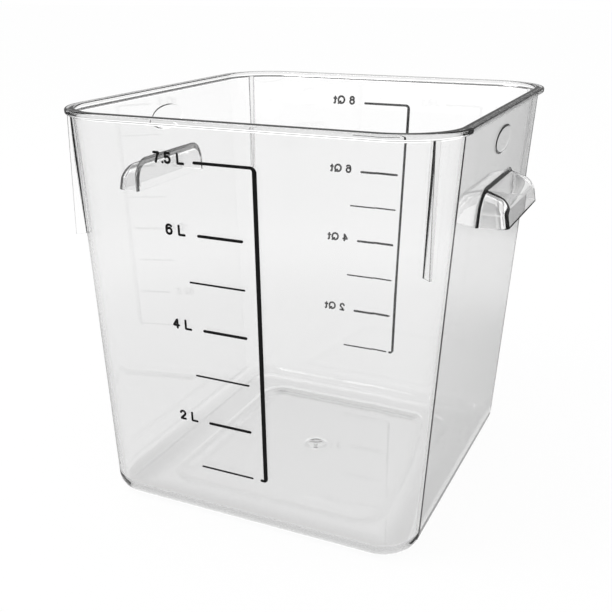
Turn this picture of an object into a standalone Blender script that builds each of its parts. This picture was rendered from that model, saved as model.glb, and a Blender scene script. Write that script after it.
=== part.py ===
"""A square clear food storage container: one polycarbonate moulding with two printed scales.

Metres, +Z up. The origin is the centre of the face that the tub stands on. The litre scale is on
the -Y wall and the quart scale on the +Y wall. The hooded grips are on the -X and +X walls.
"""

import math

import bmesh
import bpy
import numpy as np
from mathutils import Vector

# Body, outside. The walls taper, so a size has one value at the foot and one at the top.
HEIGHT = 0.2205
TOP_WIDTH = 0.2064
TOP_DEPTH = 0.2229
TOP_CORNER_RADIUS = 0.0312
FOOT_WIDTH = 0.1826
FOOT_DEPTH = 0.1972
FOOT_CORNER_RADIUS = 0.0210
FOOT_EDGE_RADIUS = 0.0082

# Body, thicknesses and inside.
WALL = 0.0025
BASE = 0.0025
FLOOR_EDGE_RADIUS = 0.0075

# Rim: a flat flange outside the walls, which the edge of a lid clips under.
RIM_HEIGHT = 0.0032
RIM_OVERHANG = 0.0030
RIM_EDGE_RADIUS = 0.0011
RIM_ROOT_RADIUS = 0.0010
LIP_RADIUS = 0.0012

# Floor panel: raised a little, so that the tub stands on the ring round it.
PANEL_WIDTH = 0.136
PANEL_DEPTH = 0.148
PANEL_CORNER_RADIUS = 0.018
PANEL_RISE = 0.0009
PANEL_SLOPE = 0.0060

# Gate, where the plastic was shot in: a dome inside, over a dish with a nub outside.
GATE_RADIUS = 0.0085
GATE_DOME_RISE = 0.0008
GATE_DISH_DEPTH = 0.0016
GATE_NUB_RADIUS = 0.0014
GATE_NUB_HEIGHT = 0.0012

# Corner fins, which keep nested tubs from jamming. The outer edge is upright, the wall isn't, and
# a fin grows thicker towards the rim.
FIN_BOTTOM = 0.155
FIN_BOTTOM_THICKNESS = 0.0014
FIN_TOP_THICKNESS = 0.0030
FIN_SETBACK = 0.0002
FIN_ROOT = 0.0010

# Hooded grips: shells that stand out of the side walls, open below for the fingers.
GRIP_WIDTH = 0.076
GRIP_BOTTOM = 0.1645
GRIP_TOP = 0.1820
GRIP_REACH = 0.0155
GRIP_SHOULDER = 0.1774
GRIP_SHOULDER_REACH = 0.0125
GRIP_EDGE_RADIUS = 0.0055
GRIP_WALL = 0.0028
GRIP_ROOT = 0.0012
POCKET_SKIN = 0.0003

# Blank oval plaques, moulded a little proud of the side walls over the grips.
OVAL_WIDTH = 0.036
OVAL_HEIGHT = 0.015
OVAL_PLACE = 0.203
OVAL_RISE = 0.0004
OVAL_ROOT = 0.0008

# Printed scales, on the outside of the front and back walls. A scale is a line, its top mark bent
# out of it, its foot turned the same way, and a loose mark at each whole unit under the top one.
# The top mark is the highest step that stays clear of the brim. A unit is given as the side of
# the cube that holds it. Places are to the right of the wall's middle, seen from outside.
INK_THICKNESS = 0.0003
INK_CLEARANCE = 0.0003
LABELLED_MARK_WIDTH = 0.00145
PLAIN_MARK_WIDTH = 0.0009
TOP_BEND_RADIUS = 0.0021
FOOT_BEND_RADIUS = 0.0013
FOOT_REACH = 0.0024
BRIM_CLEARANCE = 0.016
LITRE_CUBE_SIDE = 0.1
LITRE_LINE_WIDTH = 0.0023
LITRE_LINE_PLACE = 0.0138
LITRE_MARKS_START = 0.0065
LITRE_LABELLED_END = -0.0186
LITRE_PLAIN_END = -0.0247
LITRE_TOP_STEP_SHARE = 0.5
QUART_CUBE_SIDE = 0.0981778
QUART_LINE_WIDTH = 0.0018
QUART_LINE_PLACE = -0.0161
QUART_MARKS_START = -0.0117
QUART_LABELLED_END = 0.0150
QUART_PLAIN_END = 0.0213
QUART_TOP_STEP_SHARE = 1

# Facets.
CORNER_STEPS = 12
FILLET_STEPS = 6
SMALL_ROUND_STEPS = 3
GATE_STEPS = 24
OVAL_STEPS = 32
STROKE_END_STEPS = 6
LEVEL_STEPS = 2000

# How far a cutter runs past the face that it cuts, and how near two points are one point.
OVERRUN = 0.002
SAME_PLACE = 0.00001

CLEAR = {"name": "clear_polycarbonate", "colour": (0.86, 0.88, 0.88, 1), "roughness": 0.06, "clear": 0.9}
BLACK_INK = {"name": "black_ink", "colour": (0.015, 0.015, 0.016, 1), "roughness": 0.55, "clear": 0}
LITRE_SCALE = {
    "unit": "litre", "wall_side": -1, "cube_side": LITRE_CUBE_SIDE,
    "top_step_share": LITRE_TOP_STEP_SHARE, "line_width": LITRE_LINE_WIDTH,
    "line_place": LITRE_LINE_PLACE, "marks_start": LITRE_MARKS_START,
    "labelled_end": LITRE_LABELLED_END, "plain_end": LITRE_PLAIN_END,
}
QUART_SCALE = {
    "unit": "quart", "wall_side": 1, "cube_side": QUART_CUBE_SIDE,
    "top_step_share": QUART_TOP_STEP_SHARE, "line_width": QUART_LINE_WIDTH,
    "line_place": QUART_LINE_PLACE, "marks_start": QUART_MARKS_START,
    "labelled_end": QUART_LABELLED_END, "plain_end": QUART_PLAIN_END,
}


def start_scene():
    """Empties the scene and gives one collection for the parts and one for the cutters."""
    for item in list(bpy.data.objects):
        bpy.data.objects.remove(item, do_unlink=True)
    collections = []
    for name in ("food_storage_container", "cutters"):
        collection = bpy.data.collections.new(name)
        bpy.context.scene.collection.children.link(collection)
        collections.append(collection)
    return collections


def material(finish):
    """A Principled material with the part's colour, roughness and clearness."""
    made = bpy.data.materials.get(finish["name"])
    if made is None:
        made = bpy.data.materials.new(finish["name"])
        made.use_nodes = True
        shader = made.node_tree.nodes["Principled BSDF"]
        shader.inputs["Base Color"].default_value = finish["colour"]
        shader.inputs["Roughness"].default_value = finish["roughness"]
        shader.inputs["Metallic"].default_value = 0
        shader.inputs["Transmission Weight"].default_value = finish["clear"]
    return made


def add_mesh(name, shape, collection):
    """An object from a bmesh, with its faces pointing out."""
    bmesh.ops.recalc_face_normals(shape, faces=shape.faces)
    mesh = bpy.data.meshes.new(name)
    shape.to_mesh(mesh)
    shape.free()
    item = bpy.data.objects.new(name, mesh)
    collection.objects.link(item)
    return item


def join(body, tool, operation):
    """Unites a tool with the body or cuts it away, and keeps the tool as a wire guide."""
    tool.display_type = "WIRE"
    tool.hide_render = True
    step = body.modifiers.new(tool.name, "BOOLEAN")
    step.operation = operation
    step.solver = "EXACT"
    step.object = tool


# Outline of the body

def share_of_height(z):
    return z / HEIGHT


def body_section(z, offset=0.0):
    """Half width, half depth and corner radius of the outside at a height, moved out by offset."""
    share = share_of_height(z)
    half_width = (FOOT_WIDTH + (TOP_WIDTH - FOOT_WIDTH) * share) / 2
    half_depth = (FOOT_DEPTH + (TOP_DEPTH - FOOT_DEPTH) * share) / 2
    radius = FOOT_CORNER_RADIUS + (TOP_CORNER_RADIUS - FOOT_CORNER_RADIUS) * share
    return half_width + offset, half_depth + offset, radius + offset


def rounded_rectangle(half_width, half_depth, radius, z):
    """Points of a level rounded rectangle, anticlockwise seen from above."""
    turn = np.linspace(0, math.pi / 2, CORNER_STEPS + 1)
    points = []
    for quarter, (side_x, side_y) in enumerate(((1, 1), (-1, 1), (-1, -1), (1, -1))):
        angle = turn + quarter * math.pi / 2
        x = side_x * (half_width - radius) + radius * np.cos(angle)
        y = side_y * (half_depth - radius) + radius * np.sin(angle)
        points += [(a, b, z) for a, b in zip(x, y)]
    return points


def round_in_section(centre_offset, centre_z, radius, start, end, steps):
    """Points of a round in the wall's section: distance outside the wall line, and height."""
    angles = np.radians(np.linspace(start, end, steps + 1))
    return [(centre_offset + radius * math.cos(a), centre_z + radius * math.sin(a)) for a in angles]


def wall_section():
    """The wall's section from the foot, up the outside, over the rim and down to the floor."""
    rim_bottom = HEIGHT - RIM_HEIGHT
    outer = round_in_section(-FOOT_EDGE_RADIUS, FOOT_EDGE_RADIUS, FOOT_EDGE_RADIUS, -90, 0, FILLET_STEPS)
    root = round_in_section(RIM_ROOT_RADIUS, rim_bottom - RIM_ROOT_RADIUS, RIM_ROOT_RADIUS,
                            180, 90, SMALL_ROUND_STEPS)
    edge_centre = RIM_OVERHANG - RIM_EDGE_RADIUS
    edge = round_in_section(edge_centre, rim_bottom + RIM_EDGE_RADIUS, RIM_EDGE_RADIUS,
                            -90, 0, SMALL_ROUND_STEPS)
    edge += round_in_section(edge_centre, HEIGHT - RIM_EDGE_RADIUS, RIM_EDGE_RADIUS,
                             0, 90, SMALL_ROUND_STEPS)
    lip = round_in_section(LIP_RADIUS - WALL, HEIGHT - LIP_RADIUS, LIP_RADIUS, 90, 180, SMALL_ROUND_STEPS)
    inner = round_in_section(-WALL - FLOOR_EDGE_RADIUS, BASE + FLOOR_EDGE_RADIUS, FLOOR_EDGE_RADIUS,
                             0, -90, FILLET_STEPS)
    return outer + root + edge + lip + inner


def panel_outlines(z):
    """The floor panel's edge at a height, and the edge of its flat above that."""
    return [
        rounded_rectangle(PANEL_WIDTH / 2 - step, PANEL_DEPTH / 2 - step, PANEL_CORNER_RADIUS - step, level)
        for step, level in ((0, z), (PANEL_SLOPE, z + PANEL_RISE))
    ]


def add_shell(collection):
    """The body as a loft through level rings, from the underside's panel round to the floor's panel."""
    rings = panel_outlines(0)[::-1]
    rings += [rounded_rectangle(*body_section(z, offset), z) for offset, z in wall_section()]
    rings += panel_outlines(BASE)
    shape = bmesh.new()
    loops = [[shape.verts.new(point) for point in ring] for ring in rings]
    for lower, upper in zip(loops, loops[1:]):
        for i in range(len(lower)):
            shape.faces.new((lower[i - 1], lower[i], upper[i], upper[i - 1]))
    shape.faces.new(loops[0])
    shape.faces.new(loops[-1])
    return add_mesh("tub", shape, collection)


# Pieces moulded on to the body

def turned(name, profile, collection):
    """A solid turned round Z from a profile that runs down its outer side."""
    shape = bmesh.new()
    points = [shape.verts.new((radius, 0, z)) for radius, z in profile]
    for upper, lower in zip(points, points[1:]):
        shape.edges.new((upper, lower))
    mesh = bpy.data.meshes.new(name)
    shape.to_mesh(mesh)
    shape.free()
    item = bpy.data.objects.new(name, mesh)
    collection.objects.link(item)
    turn = item.modifiers.new("turn", "SCREW")
    turn.steps = GATE_STEPS
    turn.render_steps = GATE_STEPS
    turn.use_merge_vertices = True
    turn.merge_threshold = SAME_PLACE
    return item


def lens(base_z, rise, below):
    """Profile of a shallow dome of the gate's radius on base_z, with a plain disc below it."""
    angles = np.linspace(0, math.pi / 2, FILLET_STEPS + 1)
    dome = [(GATE_RADIUS * math.sin(a), base_z + rise * math.cos(a)) for a in angles]
    return dome + [(GATE_RADIUS, base_z - below), (0, base_z - below)]


def add_gate(body, cutters):
    """The dome in the floor, the dish under it and the nub in the dish."""
    floor = BASE + PANEL_RISE
    join(body, turned("gate_dome", lens(floor, GATE_DOME_RISE, BASE / 2), cutters), "UNION")
    join(body, turned("gate_dish", lens(PANEL_RISE, GATE_DISH_DEPTH, OVERRUN), cutters), "DIFFERENCE")
    nub_top = PANEL_RISE + GATE_DISH_DEPTH + BASE / 2
    nub_bottom = PANEL_RISE + GATE_DISH_DEPTH - GATE_NUB_HEIGHT
    nub = [(0, nub_top), (GATE_NUB_RADIUS, nub_top), (GATE_NUB_RADIUS, nub_bottom), (0, nub_bottom)]
    join(body, turned("gate_nub", nub, cutters), "UNION")


def slab(outline, thicknesses):
    """A bmesh of an outline in the XZ plane, with half of each point's thickness on either side of it."""
    shape = bmesh.new()
    near, far = [
        [shape.verts.new((x, side * thickness / 2, z)) for (x, z), thickness in zip(outline, thicknesses)]
        for side in (-1, 1)
    ]
    shape.faces.new(near)
    shape.faces.new(far[::-1])
    for i in range(len(outline)):
        shape.faces.new((near[i - 1], near[i], far[i], far[i - 1]))
    return shape


def corner_reach(z):
    """How far the outside of a corner lies along its diagonal from the corner's centre at the top."""
    half_width, half_depth, radius = body_section(z)
    top_width, top_depth, top_radius = body_section(HEIGHT)
    shift = (half_width - radius) - (top_width - top_radius) + (half_depth - radius) - (top_depth - top_radius)
    return radius + shift / math.sqrt(2)


def add_fins(body, cutters):
    """Four upright blades on the corners' diagonals, level with the rim's outer edge."""
    half_width, half_depth, radius = body_section(HEIGHT)
    top = HEIGHT - RIM_HEIGHT / 2
    outer = corner_reach(HEIGHT) + RIM_OVERHANG - RIM_EDGE_RADIUS - FIN_SETBACK
    outline = [
        (corner_reach(FIN_BOTTOM) - FIN_ROOT, FIN_BOTTOM),
        (outer, FIN_BOTTOM),
        (outer, top),
        (corner_reach(top) - FIN_ROOT, top),
    ]
    thicknesses = [FIN_BOTTOM_THICKNESS] * 2 + [FIN_TOP_THICKNESS] * 2
    for name, side_x, side_y in (("front_right", 1, -1), ("back_right", 1, 1),
                                 ("back_left", -1, 1), ("front_left", -1, -1)):
        fin = add_mesh("fin_" + name, slab(outline, thicknesses), cutters)
        fin.location = (side_x * (half_width - radius), side_y * (half_depth - radius), 0)
        fin.rotation_euler = (0, 0, math.atan2(side_y, side_x))
        join(body, fin, "UNION")


def hood(inset, bottom, back):
    """A grip's hood, its walls moved in by inset, from bottom up and from back outside the wall."""
    def point(reach, z):
        return body_section(z)[0] + reach, z

    outline = [
        point(back, bottom),
        point(GRIP_REACH - inset, bottom),
        point(GRIP_SHOULDER_REACH - inset, GRIP_SHOULDER - inset),
        point(back, GRIP_TOP - inset),
    ]
    half_width = GRIP_WIDTH / 2 - inset
    shape = slab(outline, [2 * half_width] * len(outline))
    shape.edges.ensure_lookup_table()
    shoulder = Vector((outline[2][0], 0, outline[2][1]))
    top = Vector((outline[3][0], 0, outline[3][1]))
    reach = Vector((outline[1][0], 0, outline[1][1]))
    middles = [(shoulder + top) / 2, (shoulder + reach) / 2]
    rounded = []
    for edge in shape.edges:
        middle = (edge.verts[0].co + edge.verts[1].co) / 2
        flat = Vector((middle.x, 0, middle.z))
        on_end = abs(abs(middle.y) - half_width) < SAME_PLACE
        along_shoulder = (flat - shoulder).length < SAME_PLACE
        if along_shoulder or on_end and min((flat - m).length for m in middles) < SAME_PLACE:
            rounded.append(edge)
    bmesh.ops.bevel(shape, geom=rounded, offset=GRIP_EDGE_RADIUS - inset, offset_type="OFFSET",
                    segments=FILLET_STEPS, profile=0.5, affect="EDGES")
    return shape


def add_grips(body, cutters):
    """A hood on each side wall, and the finger pocket under it, which leaves the wall whole."""
    for side, turn in (("right", 0), ("left", math.pi)):
        outside = add_mesh("grip_" + side, hood(0, GRIP_BOTTOM, -GRIP_ROOT), cutters)
        outside.rotation_euler = (0, 0, turn)
        join(body, outside, "UNION")
        pocket = add_mesh("pocket_" + side, hood(GRIP_WALL, GRIP_BOTTOM - OVERRUN, POCKET_SKIN), cutters)
        pocket.rotation_euler = (0, 0, turn)
        join(body, pocket, "DIFFERENCE")


def oval():
    """A bmesh of an upright oval disc on the right wall, from its root inside the wall to its proud face."""
    shape = bmesh.new()
    loops = []
    for reach in (-OVAL_ROOT, OVAL_RISE):
        loops.append([])
        for angle in np.linspace(0, 2 * math.pi, OVAL_STEPS, endpoint=False):
            z = OVAL_PLACE + OVAL_HEIGHT / 2 * math.sin(angle)
            y = OVAL_WIDTH / 2 * math.cos(angle)
            loops[-1].append(shape.verts.new((body_section(z)[0] + reach, y, z)))
    root, face = loops
    for i in range(OVAL_STEPS):
        shape.faces.new((root[i - 1], root[i], face[i], face[i - 1]))
    shape.faces.new(root)
    shape.faces.new(face)
    return shape


def add_ovals(body, cutters):
    for side, turn in (("right", 0), ("left", math.pi)):
        plaque = add_mesh("oval_" + side, oval(), cutters)
        plaque.rotation_euler = (0, 0, turn)
        join(body, plaque, "UNION")


# Printed scales

def cavity():
    """Heights up the inside, and the volume that the tub holds up to each."""
    z = np.linspace(BASE, HEIGHT, LEVEL_STEPS)
    half_width, half_depth, radius = body_section(z)
    under_round = np.clip(BASE + FLOOR_EDGE_RADIUS - z, 0, FLOOR_EDGE_RADIUS)
    inset = WALL + FLOOR_EDGE_RADIUS - np.sqrt(FLOOR_EDGE_RADIUS ** 2 - under_round ** 2)
    area = 4 * (half_width - inset) * (half_depth - inset) - (4 - math.pi) * (radius - inset) ** 2
    area -= np.where(z < BASE + PANEL_RISE, PANEL_WIDTH * PANEL_DEPTH, 0)
    slices = (area[1:] + area[:-1]) / 2 * np.diff(z)
    return z, np.concatenate([[0], np.cumsum(slices)])


def level(volume):
    """The height that a volume fills the tub to."""
    heights, volumes = cavity()
    return float(np.interp(volume, volumes, heights))


def highest_mark(unit_volume, step_share):
    """How many units the scale's top mark stands for."""
    heights, volumes = cavity()
    room = float(np.interp(HEIGHT - BRIM_CLEARANCE, heights, volumes))
    return math.floor(room / unit_volume / step_share) * step_share


def add_scale_plane(name, depth_side, collection):
    """An empty at the foot of the front or back wall, its Z up along the wall's outside."""
    draft = math.atan2((TOP_DEPTH - FOOT_DEPTH) / 2, HEIGHT)
    plane = bpy.data.objects.new(name, None)
    plane.location = (0, depth_side * FOOT_DEPTH / 2, 0)
    plane.rotation_euler = (draft, 0, 0 if depth_side < 0 else math.pi)
    collection.objects.link(plane)
    return plane, 1 / math.cos(draft)


def bent_path(points, widths, bend_radii):
    """A path through points in a plane with its corners rounded, as places and the stroke's widths."""
    path = [(Vector(points[0]), widths[0])]
    for i, bend_radius in enumerate(bend_radii):
        corner = Vector(points[i + 1])
        back = (Vector(points[i]) - corner).normalized()
        ahead = (Vector(points[i + 2]) - corner).normalized()
        half_angle = back.angle(ahead) / 2
        centre = corner + (back + ahead).normalized() * bend_radius / math.sin(half_angle)
        start = (corner + back * bend_radius / math.tan(half_angle) - centre).normalized()
        end = (corner + ahead * bend_radius / math.tan(half_angle) - centre).normalized()
        for share in np.linspace(0, 1, STROKE_END_STEPS + 1):
            width = widths[i] + (widths[i + 1] - widths[i]) * share
            path.append((centre + start.slerp(end, share) * bend_radius, width))
    path.append((Vector(points[-1]), widths[-1]))
    return path


def stroke_outline(path):
    """The outline of a stroke along a path: both sides of it, with round ends."""
    left = []
    right = []
    headings = []
    for i, (place, width) in enumerate(path):
        ahead = path[min(i + 1, len(path) - 1)][0] - path[max(i - 1, 0)][0]
        heading = ahead.normalized()
        across = Vector((-heading.y, heading.x)) * width / 2
        left.append(place + across)
        right.append(place - across)
        headings.append(heading)

    def cap(end, heading):
        place, width = end
        facing = math.atan2(heading.y, heading.x)
        turns = np.linspace(math.pi / 2, -math.pi / 2, STROKE_END_STEPS + 1)[1:-1]
        return [place + Vector((math.cos(facing + t), math.sin(facing + t))) * width / 2 for t in turns]

    return left + cap(path[-1], headings[-1]) + right[::-1] + cap(path[0], -headings[0])


def add_stroke(name, points, widths, bend_radii, plane, collection):
    """A printed stroke: a flat outline on the scale's plane, as thick as the ink."""
    outline = stroke_outline(bent_path(points, widths, bend_radii))
    curve = bpy.data.curves.new(name, "CURVE")
    curve.dimensions = "2D"
    curve.fill_mode = "BOTH"
    curve.extrude = INK_THICKNESS / 2
    spline = curve.splines.new("POLY")
    spline.points.add(len(outline) - 1)
    for point, place in zip(spline.points, outline):
        point.co = (place.x, place.y, 0, 1)
    spline.use_cyclic_u = True
    curve.materials.append(material(BLACK_INK))
    stroke = bpy.data.objects.new(name, curve)
    stroke.parent = plane
    stroke.location = (0, -INK_CLEARANCE - INK_THICKNESS / 2, 0)
    stroke.rotation_euler = (math.pi / 2, 0, 0)
    collection.objects.link(stroke)


def add_scale(scale, collection):
    """One scale: its line with the top mark and the foot bent into it, and the loose marks beside it."""
    unit = scale["unit"]
    volume = scale["cube_side"] ** 3
    plane, stretch = add_scale_plane(unit + "_scale_plane", scale["wall_side"], collection)
    side = math.copysign(1, scale["labelled_end"] - scale["marks_start"])
    line_place = scale["line_place"]
    foot = level(volume) * stretch
    top_mark = highest_mark(volume, scale["top_step_share"])
    top = level(top_mark * volume) * stretch
    line = [
        (scale["labelled_end"] - side * LABELLED_MARK_WIDTH / 2, top),
        (line_place, top),
        (line_place, foot),
        (line_place + side * FOOT_REACH, foot),
    ]
    widths = [LABELLED_MARK_WIDTH, scale["line_width"], LABELLED_MARK_WIDTH]
    add_stroke(unit + "_scale_line", line, widths, [TOP_BEND_RADIUS, FOOT_BEND_RADIUS], plane, collection)
    for count in range(1, math.floor(top_mark - 1) + 1):
        width = PLAIN_MARK_WIDTH if count % 2 else LABELLED_MARK_WIDTH
        far_end = scale["plain_end" if count % 2 else "labelled_end"]
        height = level(count * volume) * stretch
        mark = [(scale["marks_start"] + side * width / 2, height), (far_end - side * width / 2, height)]
        add_stroke(f"{unit}_mark_{count}", mark, [width], [], plane, collection)


def build():
    parts, cutters = start_scene()
    tub = add_shell(parts)
    add_fins(tub, cutters)
    add_grips(tub, cutters)
    add_ovals(tub, cutters)
    add_gate(tub, cutters)
    tub.data.materials.append(material(CLEAR))
    tub.data.shade_smooth()
    tub.data.set_sharp_from_angle(angle=math.radians(40))
    for scale in (LITRE_SCALE, QUART_SCALE):
        add_scale(scale, parts)


build()
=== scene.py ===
"""A square clear tub for storing food, with its printed litre and quart scales, dressed round the CAD frame.

Metres, +Z up, in the frame's own axes. The litre scale is on the -Y wall, the grips on the -X and +X walls.
"""

import math

import bmesh
import bpy
import numpy as np
from mathutils import Matrix, Vector


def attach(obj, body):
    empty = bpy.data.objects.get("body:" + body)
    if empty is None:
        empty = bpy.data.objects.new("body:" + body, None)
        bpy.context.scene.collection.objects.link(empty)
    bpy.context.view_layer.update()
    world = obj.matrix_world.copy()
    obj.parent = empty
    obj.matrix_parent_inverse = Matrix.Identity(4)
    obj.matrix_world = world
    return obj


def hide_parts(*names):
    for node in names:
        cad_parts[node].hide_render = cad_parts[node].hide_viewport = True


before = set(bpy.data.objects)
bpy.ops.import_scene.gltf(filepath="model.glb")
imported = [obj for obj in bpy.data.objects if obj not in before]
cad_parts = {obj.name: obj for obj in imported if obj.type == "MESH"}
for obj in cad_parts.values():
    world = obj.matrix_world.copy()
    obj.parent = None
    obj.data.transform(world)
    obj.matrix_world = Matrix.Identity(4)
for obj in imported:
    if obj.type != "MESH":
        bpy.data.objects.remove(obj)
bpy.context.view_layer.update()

# Sizes of the moulding, the same as the CAD's but for the gate's dish, which is half as deep
HEIGHT = 0.2205
TOP_WIDTH = 0.2064
TOP_DEPTH = 0.2229
TOP_CORNER_RADIUS = 0.0312
FOOT_WIDTH = 0.1826
FOOT_DEPTH = 0.1972
FOOT_CORNER_RADIUS = 0.0210
FOOT_EDGE_RADIUS = 0.0082
WALL = 0.0025
BASE = 0.0025
FLOOR_EDGE_RADIUS = 0.0075
RIM_HEIGHT = 0.0032
RIM_OVERHANG = 0.0030
RIM_EDGE_RADIUS = 0.0011
RIM_ROOT_RADIUS = 0.0010
LIP_RADIUS = 0.0012
PANEL_WIDTH = 0.136
PANEL_DEPTH = 0.148
PANEL_CORNER_RADIUS = 0.018
PANEL_RISE = 0.0009
PANEL_SLOPE = 0.0060
GATE_RADIUS = 0.0085
GATE_DOME_RISE = 0.0008
GATE_DISH_DEPTH = 0.0008
GATE_NUB_RADIUS = 0.0014
GATE_NUB_HEIGHT = 0.0012
FIN_BOTTOM = 0.155
FIN_BOTTOM_THICKNESS = 0.0014
FIN_TOP_THICKNESS = 0.0030
FIN_SETBACK = 0.0002
FIN_ROOT = 0.0010
GRIP_WIDTH = 0.076
GRIP_BOTTOM = 0.1645
GRIP_TOP = 0.1820
GRIP_REACH = 0.0155
GRIP_SHOULDER = 0.1774
GRIP_SHOULDER_REACH = 0.0125
GRIP_EDGE_RADIUS = 0.0055
GRIP_WALL = 0.0028
GRIP_ROOT = 0.0012
POCKET_SKIN = 0.0003
OVAL_WIDTH = 0.036
OVAL_HEIGHT = 0.015
OVAL_PLACE = 0.203
OVAL_RISE = 0.0004
OVAL_ROOT = 0.0008
OVERRUN = 0.002

# Rounds that only this model has
PANEL_UNDER_SLOPE = 0.018
PANEL_CORNER_SHRINK = 0.95
GATE_EDGE = 0.0036
FIN_ANGLE = math.radians(41.5)
FIN_BOTTOM_FLARE = 0.0006
FIN_TOP_FLARE = 0.0026
FIN_FILLET_SHARE = 0.6
FIN_EDGE_RADIUS = 0.0004
GRIP_CORNER_RADIUS = 0.0110
GRIP_SHOULDER_RADIUS = 0.0090
GRIP_FILLET = 0.0022
OVAL_EDGE = 0.0014
FILLET_SINK = 0.00002

# Steps of the rounds, and the small round that every sharp edge gets
CORNER_STEPS = 32
FILLET_STEPS = 24
SMALL_ROUND_STEPS = 8
PANEL_STEPS = 12
FIN_ROWS = 6
GATE_STEPS = 64
OVAL_STEPS = 96
SHARP_ANGLE = math.radians(38)
EDGE_ROUND = 0.00025
EDGE_ROUND_STEPS = 2


# Meshes from arrays of points

def skin(name, points, caps=()):
    """A mesh from points[row, column]: one four-sided face per cell, its columns closed to a ring.

    caps names the rows, 0 or -1, that a single flat face closes.
    """
    rows, columns = points.shape[:2]
    index = np.arange(rows * columns).reshape(rows, columns)
    ahead = np.roll(index, -1, axis=1)
    faces = np.stack([index[:-1], ahead[:-1], ahead[1:], index[1:]], axis=-1).reshape(-1, 4).tolist()
    faces += [index[cap].tolist() for cap in caps]
    mesh = bpy.data.meshes.new(name)
    mesh.from_pydata(points.reshape(-1, 3).tolist(), [], faces)
    shape = bmesh.new()
    shape.from_mesh(mesh)
    bmesh.ops.remove_doubles(shape, verts=shape.verts, dist=1e-7)
    bmesh.ops.recalc_face_normals(shape, faces=shape.faces)
    shape.to_mesh(mesh)
    shape.free()
    item = bpy.data.objects.new(name, mesh)
    bpy.context.scene.collection.objects.link(item)
    return item


def body_section(z):
    """Half width, half depth and corner radius of the outside at a height: each grows evenly with height."""
    share = z / HEIGHT
    half_width = (FOOT_WIDTH + (TOP_WIDTH - FOOT_WIDTH) * share) / 2
    half_depth = (FOOT_DEPTH + (TOP_DEPTH - FOOT_DEPTH) * share) / 2
    return half_width, half_depth, FOOT_CORNER_RADIUS + (TOP_CORNER_RADIUS - FOOT_CORNER_RADIUS) * share


def level_rings(half_width, half_depth, radius, z):
    """Rounded rectangles: in each quarter, the corner's centre plus the radius times (cos, sin) of a turn."""
    turn = np.linspace(0, math.pi / 2, CORNER_STEPS + 1)
    turns = np.concatenate([turn + quarter * math.pi / 2 for quarter in range(4)])
    side_x = np.repeat([1, -1, -1, 1], len(turn))
    side_y = np.repeat([1, 1, -1, -1], len(turn))
    half_width, half_depth, radius, z = (np.asarray(v)[:, None] for v in (half_width, half_depth, radius, z))
    x = side_x * (half_width - radius) + radius * np.cos(turns)
    y = side_y * (half_depth - radius) + radius * np.sin(turns)
    return np.stack([x, y, z + 0 * x], axis=-1)


def arc(centre_x, centre_z, radius, start, end, steps):
    """Points of a round in a section: its centre plus the radius times (cos, sin), start to end in degrees."""
    angle = np.radians(np.linspace(start, end, steps + 1))
    return np.stack([centre_x + radius * np.cos(angle), centre_z + radius * np.sin(angle)], axis=-1)


def wall_section():
    """The wall's section, as distance outside the wall line and height.

    It goes from the foot up the outside, round the rim and the lip, and down the inside to the floor.
    """
    rim_bottom = HEIGHT - RIM_HEIGHT
    edge = RIM_OVERHANG - RIM_EDGE_RADIUS
    return np.concatenate([
        arc(-FOOT_EDGE_RADIUS, FOOT_EDGE_RADIUS, FOOT_EDGE_RADIUS, -90, 0, FILLET_STEPS),
        arc(RIM_ROOT_RADIUS, rim_bottom - RIM_ROOT_RADIUS, RIM_ROOT_RADIUS, 180, 90, SMALL_ROUND_STEPS),
        arc(edge, rim_bottom + RIM_EDGE_RADIUS, RIM_EDGE_RADIUS, -90, 0, SMALL_ROUND_STEPS),
        arc(edge, HEIGHT - RIM_EDGE_RADIUS, RIM_EDGE_RADIUS, 0, 90, SMALL_ROUND_STEPS),
        arc(LIP_RADIUS - WALL, HEIGHT - LIP_RADIUS, LIP_RADIUS, 90, 180, SMALL_ROUND_STEPS),
        arc(-WALL - FLOOR_EDGE_RADIUS, BASE + FLOOR_EDGE_RADIUS, FLOOR_EDGE_RADIUS, 0, -90, FILLET_STEPS),
    ])


def panel_rings(z, slope):
    """The floor panel's edge: a soft step up, 3 s^2 - 2 s^3 of the panel's rise at the share s inwards."""
    share = np.linspace(0, 1, PANEL_STEPS + 1)
    inset = slope * share
    height = z + PANEL_RISE * (3 * share ** 2 - 2 * share ** 3)
    radius = PANEL_CORNER_RADIUS - inset * PANEL_CORNER_SHRINK
    return level_rings(PANEL_WIDTH / 2 - inset, PANEL_DEPTH / 2 - inset, radius, height)


def shell():
    """The body: level rings from the panel's underside out, up, over the rim and down to the panel inside."""
    offset, z = wall_section().T
    half_width, half_depth, radius = body_section(z)
    walls = level_rings(half_width + offset, half_depth + offset, radius + offset, z)
    under, over = panel_rings(0, PANEL_UNDER_SLOPE), panel_rings(BASE, PANEL_SLOPE)
    return skin("tub_shell", np.concatenate([under[::-1], walls, over]), (0, -1))


# Pieces moulded on to the body

def bend(corner, before, after, radius, steps):
    """Arcs of a radius that touch the way into each corner and the way out of it, as points[step, corner].

    Where the way turns by c, the arc starts r tan(c / 2) short of the corner. With v the way in and u the
    side that it turns to, the arc is its centre + r (v sin(a) - u cos(a)), for a from 0 to c.
    """
    before = before / np.linalg.norm(before, axis=-1, keepdims=True)
    after = after / np.linalg.norm(after, axis=-1, keepdims=True)
    cosine = (before * after).sum(-1, keepdims=True)
    aside = after - cosine * before
    aside /= np.linalg.norm(aside, axis=-1, keepdims=True)
    turn = np.arccos(cosine)
    centre = corner - before * radius * np.tan(turn / 2) + aside * radius
    angle = turn * np.linspace(0, 1, steps + 1)[:, None, None]
    return centre + radius * (before * np.sin(angle) - aside * np.cos(angle))


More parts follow.
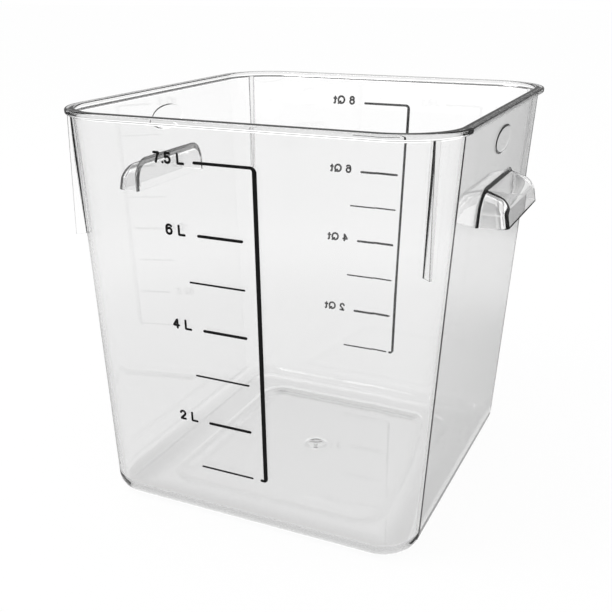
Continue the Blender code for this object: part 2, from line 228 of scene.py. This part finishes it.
def hood(name, inset, side):
    """A grip's hood, its walls moved in by inset, on one side wall. Places are reach from the wall, y and z.

    The outline on the wall goes up one end, round a corner, along the top, round a corner and down. From each
    of its points the skin goes out with a small fall, more at the top than at the ends, until it meets the
    front, which leans back evenly with height. The root and the front edge are arcs.
    """
    turn = np.radians(np.concatenate([[180], np.linspace(180, 90, FILLET_STEPS + 1),
                                      np.linspace(90, 0, FILLET_STEPS + 1), [0]]))
    top = np.sin(turn)
    flat = 0 * turn
    middle = np.repeat([-1, 1], len(turn) // 2) * (GRIP_WIDTH / 2 - GRIP_CORNER_RADIUS)
    y = middle + (GRIP_CORNER_RADIUS - inset) * np.cos(turn)
    z = GRIP_TOP - GRIP_CORNER_RADIUS + (GRIP_CORNER_RADIUS - inset) * top
    bottom = GRIP_BOTTOM - (OVERRUN if inset else 0)
    z[[0, -1]] = bottom
    lean = (GRIP_REACH - GRIP_SHOULDER_REACH) / (GRIP_SHOULDER - GRIP_BOTTOM)
    fall = (GRIP_TOP - GRIP_SHOULDER) / GRIP_SHOULDER_REACH * top
    outward = np.stack([flat, np.cos(turn), top], axis=-1)
    over = np.stack([1 + flat, flat, -fall], axis=-1)
    reach = (GRIP_REACH - inset - lean * (z - GRIP_BOTTOM)) / (1 - lean * fall)
    wall = np.stack([flat, y, z], axis=-1)
    front = np.array([1, 0, lean]) / math.hypot(1, lean)
    along = (outward @ front)[:, None] * front - outward
    radius = GRIP_EDGE_RADIUS + (GRIP_SHOULDER_RADIUS - GRIP_EDGE_RADIUS) * top - inset
    edge = bend(wall + reach[:, None] * over, over, along, radius[:, None], FILLET_STEPS)
    if inset:
        start = (wall + POCKET_SKIN * over)[None]
    else:
        root = bend(wall - [FILLET_SINK, 0, 0], -outward, over, GRIP_FILLET, SMALL_ROUND_STEPS)
        start = np.concatenate([root[:1] - [GRIP_ROOT, 0, 0], root])
    points = np.concatenate([start, edge])
    x = body_section(points[..., 2])[0] + points[..., 0]
    return skin(name, np.stack([side * x, side * points[..., 1], points[..., 2]], axis=-1), (0, -1))


def corner_reach(z):
    """How far the outside of a corner lies along its diagonal from the corner's centre at the top."""
    half_width, half_depth, radius = body_section(z)
    top_width, top_depth, top_radius = body_section(HEIGHT)
    shift_x = (half_width - radius) - (top_width - top_radius)
    shift_y = (half_depth - radius) - (top_depth - top_radius)
    return radius + (shift_x + shift_y) / math.sqrt(2)


def fin(name, side_x, side_y):
    """An upright blade on a corner's round, from level sections of reach along it and distance across it.

    The blade's thickness and the flare of its root grow evenly with height. Each side starts on the corner's
    round, goes out over a quarter of an ellipse, f cos(a) across and g sin(a) out, and over the rounded edge.
    """
    half_width, half_depth, top_radius = body_section(HEIGHT)
    z = np.linspace(FIN_BOTTOM, HEIGHT - RIM_HEIGHT / 2, FIN_ROWS)[:, None]
    share = (z - FIN_BOTTOM) / (HEIGHT - FIN_BOTTOM)
    half = (FIN_BOTTOM_THICKNESS + (FIN_TOP_THICKNESS - FIN_BOTTOM_THICKNESS) * share) / 2
    flare = FIN_BOTTOM_FLARE + (FIN_TOP_FLARE - FIN_BOTTOM_FLARE) * share
    foot = half + flare
    start = corner_reach(z) - foot ** 2 / 2 / body_section(z)[2] - FILLET_SINK
    outer = corner_reach(HEIGHT) + RIM_OVERHANG - RIM_EDGE_RADIUS - FIN_SETBACK - FIN_EDGE_RADIUS
    rise = np.minimum((outer - start) * FIN_FILLET_SHARE, flare)
    turn = np.radians(np.linspace(0, 90, SMALL_ROUND_STEPS + 1))
    reach = np.concatenate([start - FIN_ROOT, start + rise * (1 - np.cos(turn)),
                            outer + FIN_EDGE_RADIUS * np.sin(turn) + 0 * z], axis=1)
    across = np.concatenate([foot, foot - flare * np.sin(turn),
                             half - FIN_EDGE_RADIUS * (1 - np.cos(turn))], axis=1)
    reach = np.concatenate([reach, reach[:, ::-1]], axis=1)
    across = np.concatenate([across, -across[:, ::-1]], axis=1)
    cosine, sine = math.cos(FIN_ANGLE), math.sin(FIN_ANGLE)
    x = side_x * (half_width - top_radius + reach * cosine - across * sine)
    y = side_y * (half_depth - top_radius + reach * sine + across * cosine)
    return skin(name, np.stack([x, y, z + 0 * x], axis=-1), (0, -1))


def oval(name, side):
    """A blank oval disc, proud of a side wall: (a cos(t), b sin(t)) round its middle.

    Its edge rises softly, by 3 s^2 - 2 s^3 of the rise at the share s of the way inwards.
    """
    around = np.linspace(0, 2 * math.pi, OVAL_STEPS, endpoint=False)
    share = np.linspace(0, 1, SMALL_ROUND_STEPS + 1)
    inset = np.concatenate([[0], OVAL_EDGE * share])[:, None]
    reach = np.concatenate([[-OVAL_ROOT], OVAL_RISE * (3 * share ** 2 - 2 * share ** 3)])[:, None]
    y = (OVAL_WIDTH / 2 - inset) * np.cos(around)
    z = OVAL_PLACE + (OVAL_HEIGHT / 2 - inset) * np.sin(around)
    x = side * (body_section(z)[0] + reach)
    return skin(name, np.stack([x, side * y, z], axis=-1), (0, -1))


def turned(name, profile):
    """A solid turned round Z: each point of a profile of radius and height, times (cos, sin) of the turn."""
    turn = np.linspace(0, 2 * math.pi, GATE_STEPS, endpoint=False)
    radius, z = profile[:, :1], profile[:, 1:]
    return skin(name, np.stack([radius * np.cos(turn), radius * np.sin(turn), z + 0 * turn], axis=-1))


def lens(base_z, rise, below, edge):
    """Profile of a flat rise on a plain disc, with a soft edge.

    At the share s of the edge's width outwards, it has fallen by 3 s^2 - 2 s^3 of the rise.
    """
    share = np.linspace(0, 1, FILLET_STEPS + 1)
    radius = GATE_RADIUS - edge * (1 - share)
    slope = np.stack([radius, base_z + rise * (1 - 3 * share ** 2 + 2 * share ** 3)], axis=-1)
    return np.concatenate([[(0, base_z + rise)], slope, [(GATE_RADIUS, base_z - below), (0, base_z - below)]])


def joined(body, tools):
    """One mesh from the body and the tools in turn, each united with it or cut away from it."""
    for tool, operation in tools:
        step = body.modifiers.new(tool.name, "BOOLEAN")
        step.operation = operation
        step.solver = "EXACT"
        step.object = tool
    graph = bpy.context.evaluated_depsgraph_get()
    mesh = bpy.data.meshes.new_from_object(body.evaluated_get(graph))
    item = bpy.data.objects.new("clear_tub", mesh)
    bpy.context.scene.collection.objects.link(item)
    for spent in [body] + [tool for tool, _ in tools]:
        bpy.data.objects.remove(spent)
    return item


def make_tub():
    """The whole moulding as one closed skin, its sharp edges softened by a small round."""
    floor = BASE + PANEL_RISE
    nub_top = PANEL_RISE + GATE_DISH_DEPTH + BASE / 2
    nub_bottom = PANEL_RISE + GATE_DISH_DEPTH - GATE_NUB_HEIGHT
    nub = np.array([(0, nub_top), (GATE_NUB_RADIUS, nub_top), (GATE_NUB_RADIUS, nub_bottom), (0, nub_bottom)])
    tools = [(fin("fin", x, y), "UNION") for x in (-1, 1) for y in (-1, 1)]
    for side in (-1, 1):
        tools.append((hood("hood", 0, side), "UNION"))
        tools.append((hood("pocket", GRIP_WALL, side), "DIFFERENCE"))
        tools.append((oval("oval", side), "UNION"))
    tools.append((turned("dome", lens(floor, GATE_DOME_RISE, BASE / 2, GATE_EDGE)), "UNION"))
    tools.append((turned("dish", lens(PANEL_RISE, GATE_DISH_DEPTH, OVERRUN, GATE_RADIUS)), "DIFFERENCE"))
    tools.append((turned("nub", nub), "UNION"))
    tub = joined(shell(), tools)
    tub.data.shade_smooth()
    tub.data.set_sharp_from_angle(angle=SHARP_ANGLE)
    edges = tub.modifiers.new("edges", "BEVEL")
    edges.limit_method = "ANGLE"
    edges.angle_limit = SHARP_ANGLE
    edges.width = EDGE_ROUND
    edges.segments = EDGE_ROUND_STEPS
    edges.harden_normals = False
    shading = tub.modifiers.new("shading", "WEIGHTED_NORMAL")
    shading.keep_sharp = True
    shading.weight = 100
    return tub


# Lettering of the scales, drawn in thousandths of a metre from each character's lower left corner

PER_METRE = 1000


def loop(centre_x, centre_z, radius_x, radius_z, start=90, end=450, steps=24):
    """Points round an ellipse from start to end degrees."""
    angle = np.radians(np.linspace(start, end, steps + 1))
    return np.stack([centre_x + radius_x * np.cos(angle), centre_z + radius_z * np.sin(angle)], axis=-1)


STROKE = 1.30
CAP_HEIGHT = 5.85
LOW = STROKE / 2
HIGH = CAP_HEIGHT - STROKE / 2
CHARACTERS = {
    "2": [np.concatenate([loop(2.0, 3.86, 1.36, HIGH - 3.86, 165, -38), [(LOW + 0.1, LOW), (3.45, LOW)]])],
    "4": [np.array([(2.75, LOW), (2.75, HIGH), (LOW, 1.95), (3.55, 1.95)])],
    "5": [np.concatenate([[(3.25, HIGH), (1.0, HIGH), (0.8, 3.0)], loop(1.95, 2.05, 1.45, 1.5, 125, -150)])],
    "6": [np.concatenate([loop(2.05, 3.9, 1.45, HIGH - 3.9, 35, 180), loop(2.0, 2.05, 1.45, 1.5, 180, 540)])],
    "7": [np.array([(LOW, HIGH), (3.35, HIGH), (2.35, 3.2), (1.6, LOW)])],
    "8": [loop(2.0, 4.15, 1.2, HIGH - 4.15), loop(2.0, 1.98, 1.42, 1.42)],
    "L": [np.array([(LOW, HIGH), (LOW, LOW), (3.7, LOW)])],
    "Q": [loop(2.75, 2.92, 2.2, HIGH - 2.92), np.array([(3.25, 1.75), (4.75, LOW - 0.1)])],
    "t": [np.array([(0.95, 4.75), (0.95, 1.15), (1.15, 0.7), (1.6, LOW)]),
          np.array([(0.25, 3.75), (1.75, 3.75)])],
    ".": [np.array([(LOW, LOW), (LOW + 0.05, LOW)])],
}
WIDTHS = {"2": 4.0, "4": 4.0, "5": 4.0, "6": 4.0, "7": 3.9, "8": 4.0, "L": 4.2, "Q": 5.5, "t": 1.9, ".": 1.1}
LETTER_GAP = 0.75
POINT_GAP = 0.3
WORD_GAP = 3.0
INK_THICKNESS = 0.00025
INK_CLEARANCE = 0.0003
INK_STEP = 0.0002
INK_ROUND_STEPS = 8


def ink_stroke(path, name):
    """A bead of ink along a path on the XZ plane.

    At each point its section is half an ellipse, (w cos(a), t sin(a)). Past both ends the half width w
    shrinks as the sine of a quarter turn while the path runs on by its cosine, which makes the ends round.
    """
    run = np.concatenate([[0], np.cumsum(np.linalg.norm(np.diff(path, axis=0), axis=1))])
    along = np.linspace(0, run[-1], max(2, int(run[-1] / INK_STEP)))
    line = np.stack([np.interp(along, run, path[:, i]) for i in (0, 1)], axis=-1)
    heading = np.gradient(line, axis=0)
    heading /= np.linalg.norm(heading, axis=1, keepdims=True)
    half = STROKE / 2 / PER_METRE
    turn = np.linspace(0, math.pi / 2, INK_ROUND_STEPS, endpoint=False)
    before = line[:1] - heading[:1] * half * np.cos(turn)[:, None]
    after = line[-1:] + heading[-1:] * half * np.cos(turn[::-1])[:, None]
    line = np.concatenate([before, line, after])
    heading = np.pad(heading, ((INK_ROUND_STEPS, INK_ROUND_STEPS), (0, 0)), mode="edge")
    width = np.concatenate([np.sin(turn), np.ones(len(along)), np.sin(turn[::-1])])[:, None] * half
    angle = np.linspace(0, math.pi, INK_ROUND_STEPS + 1)
    across = width * np.cos(angle)
    x = line[:, :1] - heading[:, 1:] * across
    z = line[:, 1:] + heading[:, :1] * across
    height = -INK_THICKNESS * np.sin(angle) * np.sqrt(np.clip(width / half, 0, 1))
    return skin(name, np.stack([x, height, z], axis=-1), (0, -1))


def wall_place(place, z, side):
    """The matrix that puts a drawing on the front (-1) or back (1) wall, its lower left corner at a place.

    A place is a distance to the right of the wall's middle, as seen from outside, and a height.
    """
    draft = math.atan2((TOP_DEPTH - FOOT_DEPTH) / 2, HEIGHT)
    turn = Matrix.Rotation(0 if side < 0 else math.pi, 4, "Z")
    foot = Matrix.Translation((0, -FOOT_DEPTH / 2, 0))
    up = Matrix.Rotation(draft, 4, "X")
    return turn @ foot @ up @ Matrix.Translation((place, -INK_CLEARANCE, z / math.cos(draft)))


def label(name, text, place, z, side):
    """A label such as 7.5 L: its characters side by side as one piece of ink on its wall."""
    strokes = []
    start = 0
    for character in text:
        if character == " ":
            start += WORD_GAP - LETTER_GAP
            continue
        for path in CHARACTERS[character]:
            strokes.append(ink_stroke((path + [start, 0]) / PER_METRE, name))
        start += WIDTHS[character] + (POINT_GAP if character == "." else LETTER_GAP)
    shape = bmesh.new()
    for stroke in strokes:
        shape.from_mesh(stroke.data)
        bpy.data.objects.remove(stroke)
    shape.transform(wall_place(place, z, side))
    mesh = bpy.data.meshes.new(name)
    shape.to_mesh(mesh)
    shape.free()
    mesh.shade_smooth()
    item = bpy.data.objects.new(name, mesh)
    bpy.context.scene.collection.objects.link(item)
    return item


# Shader maths

class Wire:
    """A socket of a shader tree. Operators on it add Math nodes, and node() adds any other node."""

    def __init__(self, tree, socket=None):
        self.tree = tree
        self.socket = socket

    def node(self, kind, inputs, output=0, **settings):
        """One output of a new node of a kind, with its settings and the values or wires of its inputs."""
        made = self.tree.nodes.new("ShaderNode" + kind)
        for name, value in settings.items():
            setattr(made, name, value)
        for name, value in inputs.items():
            if isinstance(value, Wire):
                self.tree.links.new(value.socket, made.inputs[name])
            else:
                made.inputs[name].default_value = value
        return Wire(self.tree, made.outputs[output])

    def maths(self, operation, other=0.0):
        """A Math node on this wire and another wire or number."""
        return self.node("Math", {0: self, 1: other}, operation=operation)

    def __add__(self, other):
        return self.maths("ADD", other)

    def __sub__(self, other):
        return self.maths("SUBTRACT", other)

    def __rsub__(self, other):
        return self.node("Math", {0: other, 1: self}, operation="SUBTRACT")

    def __mul__(self, other):
        return self.maths("MULTIPLY", other)

    __radd__ = __add__
    __rmul__ = __mul__

    def mix(self, a, b):
        """Colour a where this wire is 0 and colour b where it is 1."""
        return self.node("Mix", {0: self, 6: a, 7: b}, output=2, data_type="RGBA")

    def into(self, kind, name):
        """Feeds this wire into the tree's output node."""
        found = [n for n in self.tree.nodes if n.bl_idname == kind][0]
        self.tree.links.new(self.socket, found.inputs[name])


def new_material(name):
    """A material with nothing but its output node, and a wire to start its tree from."""
    made = bpy.data.materials.new(name)
    made.use_nodes = True
    made.node_tree.nodes.clear()
    made.node_tree.nodes.new("ShaderNodeOutputMaterial")
    return made, Wire(made.node_tree)


def clear_plastic():
    """Clear polycarbonate: slightly grey in its thickness, with the faint waves and haze of a moulding."""
    made, start = new_material("clear_polycarbonate_moulding")
    place = start.node("TexCoord", {}, output=3)
    waves = start.node("TexNoise", {"Vector": place, "Scale": 14.0, "Detail": 2.0, "Roughness": 0.4})
    ripple = start.node("TexNoise", {"Vector": place, "Scale": 90.0, "Detail": 3.0, "Roughness": 0.5})
    normal = start.node("Bump", {"Height": waves, "Strength": 0.15, "Distance": 0.0004})
    haze = ripple * 0.012 + 0.006
    plastic = start.node("BsdfPrincipled", {
        "Base Color": (1, 1, 1, 1), "Roughness": haze, "IOR": 1.585,
        "Transmission Weight": 0.992, "Specular Tint": (0.5, 0.5, 0.5, 1), "Normal": normal,
    })
    plastic.into("ShaderNodeOutputMaterial", "Surface")
    inside = start.node("VolumeAbsorption", {"Color": (0.5, 0.5, 0.5, 1), "Density": 64.0})
    inside.into("ShaderNodeOutputMaterial", "Volume")
    return made


def ink():
    """Screen-printed black ink: nearly matt, a little uneven in its cover."""
    made, start = new_material("black_screen_ink")
    place = start.node("TexCoord", {}, output=3)
    grain = start.node("TexNoise", {"Vector": place, "Scale": 900.0, "Detail": 4.0, "Roughness": 0.6})
    colour = grain.mix((0.002, 0.002, 0.002, 1), (0.007, 0.007, 0.0075, 1))
    normal = start.node("Bump", {"Height": grain, "Strength": 0.3, "Distance": 0.00005})
    shader = start.node("BsdfPrincipled", {
        "Base Color": colour, "Roughness": grain * 0.2 + 0.4, "Normal": normal, "IOR": 1.28,
    })
    shader.into("ShaderNodeOutputMaterial", "Surface")
    return made


def ray_kinds(start):
    """Wires that are 1 for a ray from the camera, for one that left the plastic and for one mirrored off it.

    A ray that left the plastic counts as glossy too, so the last wire takes those away.
    """
    names = ("Is Camera Ray", "Is Transmission Ray", "Is Glossy Ray")
    camera, through, shiny = [start.node("LightPath", {}, output=name) for name in names]
    return camera, through, shiny * (1 - through)


def ramp(start, value, low, high, at_low, at_high):
    """A soft change from one level to another while a value goes from low to high."""
    inputs = {"Value": value, "From Min": low, "From Max": high, "To Min": at_low, "To Max": at_high}
    return start.node("MapRange", inputs, interpolation_type="SMOOTHSTEP")


PAPER_GLOW = 0.95
TABLE_REACH = 8.0
TABLE_DROP = 0.0002


def floor_paper():
    """The white table: matt white paper that keeps a faint shadow, shown as white to the camera.

    Through the plastic its glow is painted a little brighter far away than near the tub, with a painted shadow
    under the ring that the tub stands on, most in front. Mirrored in the plastic, its glow is painted light:
    bright close to the foot, grey beyond, lighter again half a metre away and dark past that.
    """
    made, start = new_material("white_table")
    camera, through, mirrored = ray_kinds(start)
    place = start.node("TexCoord", {}, output=3)
    away = start.node("VectorMath", {0: place}, output=1, operation="LENGTH")
    x = start.node("SeparateXYZ", {0: place}).maths("ABSOLUTE")
    y = start.node("SeparateXYZ", {0: place}, output=1)
    beside = (x - FOOT_WIDTH / 2).maths("MAXIMUM", y.maths("ABSOLUTE") - FOOT_DEPTH / 2)
    # painted shadow: seen through the plastic, the paper's glow is dimmed under the ring that the tub stands
    # on, most in front, and painted brighter far from the tub
    ring = ramp(start, beside, -0.026, -0.012, 0.0, 1.0) - ramp(start, beside, 0.0, 0.008, 0.0, 1.0)
    shade = ring * ramp(start, y, -0.09, 0.06, 0.16, 0.0)
    seen_through = ramp(start, away, 0.25, 0.48, 1.01, 1.09) - shade
    # painted light for what the plastic mirrors: the paper's glow is bright close to the foot, grey beyond,
    # lighter again half a metre away and dark past that
    close_by = ramp(start, beside, 0.0, 0.007, 1.40, 0.38)
    half_metre_away = ramp(start, away, 0.24, 0.40, 0.0, 0.27)
    far_away = ramp(start, away, 0.52, 0.64, 0.0, 0.55)
    seen_mirrored = close_by + half_metre_away - far_away
    level = camera + through * seen_through + mirrored * seen_mirrored
    paper = start.node("BsdfPrincipled", {"Base Color": (0.93, 0.93, 0.93, 1), "Roughness": 0.9})
    glow = start.node("Emission", {"Color": level, "Strength": 1.0})
    factor = (camera + through + mirrored) * PAPER_GLOW
    start.node("MixShader", {0: factor, 1: paper, 2: glow}).into("ShaderNodeOutputMaterial", "Surface")
    return made


def make_stage():
    """A wide white table, a hair under the tub."""
    corners = np.array([(-1, -1, 0), (1, -1, 0), (1, 1, 0), (-1, 1, 0)]) * TABLE_REACH - [0, 0, TABLE_DROP]
    mesh = bpy.data.meshes.new("table")
    mesh.from_pydata(corners.tolist(), [], [(0, 1, 2, 3)])
    table = bpy.data.objects.new("table", mesh)
    bpy.context.scene.collection.objects.link(table)
    mesh.materials.append(floor_paper())


STUDIO_LIGHT = 0.95


def make_world():
    """A studio: even light on what is matt, and for clear things a bright band low down under grey walls.

    What is mirrored in the plastic shows dark walls under a darker ceiling.
    """
    world = bpy.data.worlds.new("studio")
    bpy.context.scene.world = world
    world.use_nodes = True
    world.node_tree.nodes.clear()
    world.node_tree.nodes.new("ShaderNodeOutputWorld")
    start = Wire(world.node_tree)
    camera, through, mirrored = ray_kinds(start)
    way = start.node("TexCoord", {}, output=0)
    up = start.node("SeparateXYZ", {0: way}, output=2)
    seen_through = ramp(start, up, 0.18, 0.30, 1.80, 0.60) - ramp(start, up, 0.50, 0.62, 0.0, 0.10)
    seen_mirrored = ramp(start, up, 0.30, 0.80, 0.25, 0.10)
    plain = (1 - through - mirrored) * STUDIO_LIGHT
    level = camera.maths("MAXIMUM", plain) + through * seen_through + mirrored * seen_mirrored
    start.node("Background", {"Color": level, "Strength": 1.0}).into("ShaderNodeOutputWorld", "Surface")


def soft_box(name, place, aim, size, power):
    """A square area lamp at a place, turned to its aim."""
    lamp = bpy.data.lights.new(name, "AREA")
    lamp.shape = "SQUARE"
    lamp.size = size
    lamp.energy = power
    item = bpy.data.objects.new(name, lamp)
    item.location = place
    item.rotation_euler = (Vector(aim) - Vector(place)).to_track_quat("-Z", "Y").to_euler()
    bpy.context.scene.collection.objects.link(item)


PHOTO_SIZE = 612
FOCAL_LENGTH = 919.24
OPTICAL_CENTRE = (268.68, 309.89)
SENSOR_WIDTH = 36
CAMERA_PLACE = (0.20236, -0.48111, 0.28282)
CAMERA_TURN = (26.11, 19.98, -0.34)


def make_camera():
    """The photograph's camera. Its focal length and optical centre are in the photograph's pixels.

    Its turn is given as degrees round from the front, degrees up and degrees of roll.
    """
    azimuth, elevation, roll = np.radians(CAMERA_TURN)
    ahead = Vector((-math.sin(azimuth) * math.cos(elevation), math.cos(azimuth) * math.cos(elevation),
                    -math.sin(elevation)))
    right = Vector((math.cos(azimuth), math.sin(azimuth), 0))
    above = right.cross(ahead)
    across = math.cos(roll) * right + math.sin(roll) * above
    upright = -math.sin(roll) * right + math.cos(roll) * above
    camera = bpy.data.cameras.new("camera")
    camera.sensor_width = SENSOR_WIDTH
    camera.lens = FOCAL_LENGTH / PHOTO_SIZE * SENSOR_WIDTH
    camera.shift_x = (PHOTO_SIZE / 2 - OPTICAL_CENTRE[0]) / PHOTO_SIZE
    camera.shift_y = (OPTICAL_CENTRE[1] - PHOTO_SIZE / 2) / PHOTO_SIZE
    camera.clip_start = 0.01
    item = bpy.data.objects.new("camera", camera)
    turn = Matrix((across, upright, -ahead)).transposed().to_4x4()
    item.matrix_world = Matrix.Translation(CAMERA_PLACE) @ turn
    bpy.context.scene.collection.objects.link(item)
    bpy.context.scene.camera = item


# The scene: the moulding over its CAD node, the CAD's strokes in ink, the lettering, and the studio

make_camera()
tub = make_tub()
tub.data.materials.clear()
tub.data.materials.append(clear_plastic())
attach(tub, "root")
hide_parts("tub")

black = ink()
for name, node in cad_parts.items():
    if name != "tub":
        node.data.materials.clear()
        node.data.materials.append(black)

LABELS = [
    ("litre_label_7_5", "7.5 L", -0.0407, 0.1987, -1),
    ("litre_label_6", "6 L", -0.0366, 0.1630, -1),
    ("litre_label_4", "4 L", -0.0366, 0.1125, -1),
    ("litre_label_2", "2 L", -0.0366, 0.0590, -1),
    ("quart_label_8", "8 Qt", 0.0217, 0.2007, 1),
    ("quart_label_6", "6 Qt", 0.0217, 0.1549, 1),
    ("quart_label_4", "4 Qt", 0.0217, 0.1068, 1),
    ("quart_label_2", "2 Qt", 0.0217, 0.0560, 1),
]
for name, text, place, z, side in LABELS:
    item = label(name, text, place, z, side)
    item.data.materials.append(black)
    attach(item, "root")

make_stage()
make_world()
soft_box("key", (-0.9, -0.6, 1.4), (0, 0, 0.1), 0.9, 12)
bpy.context.scene.view_settings.view_transform = "Standard"
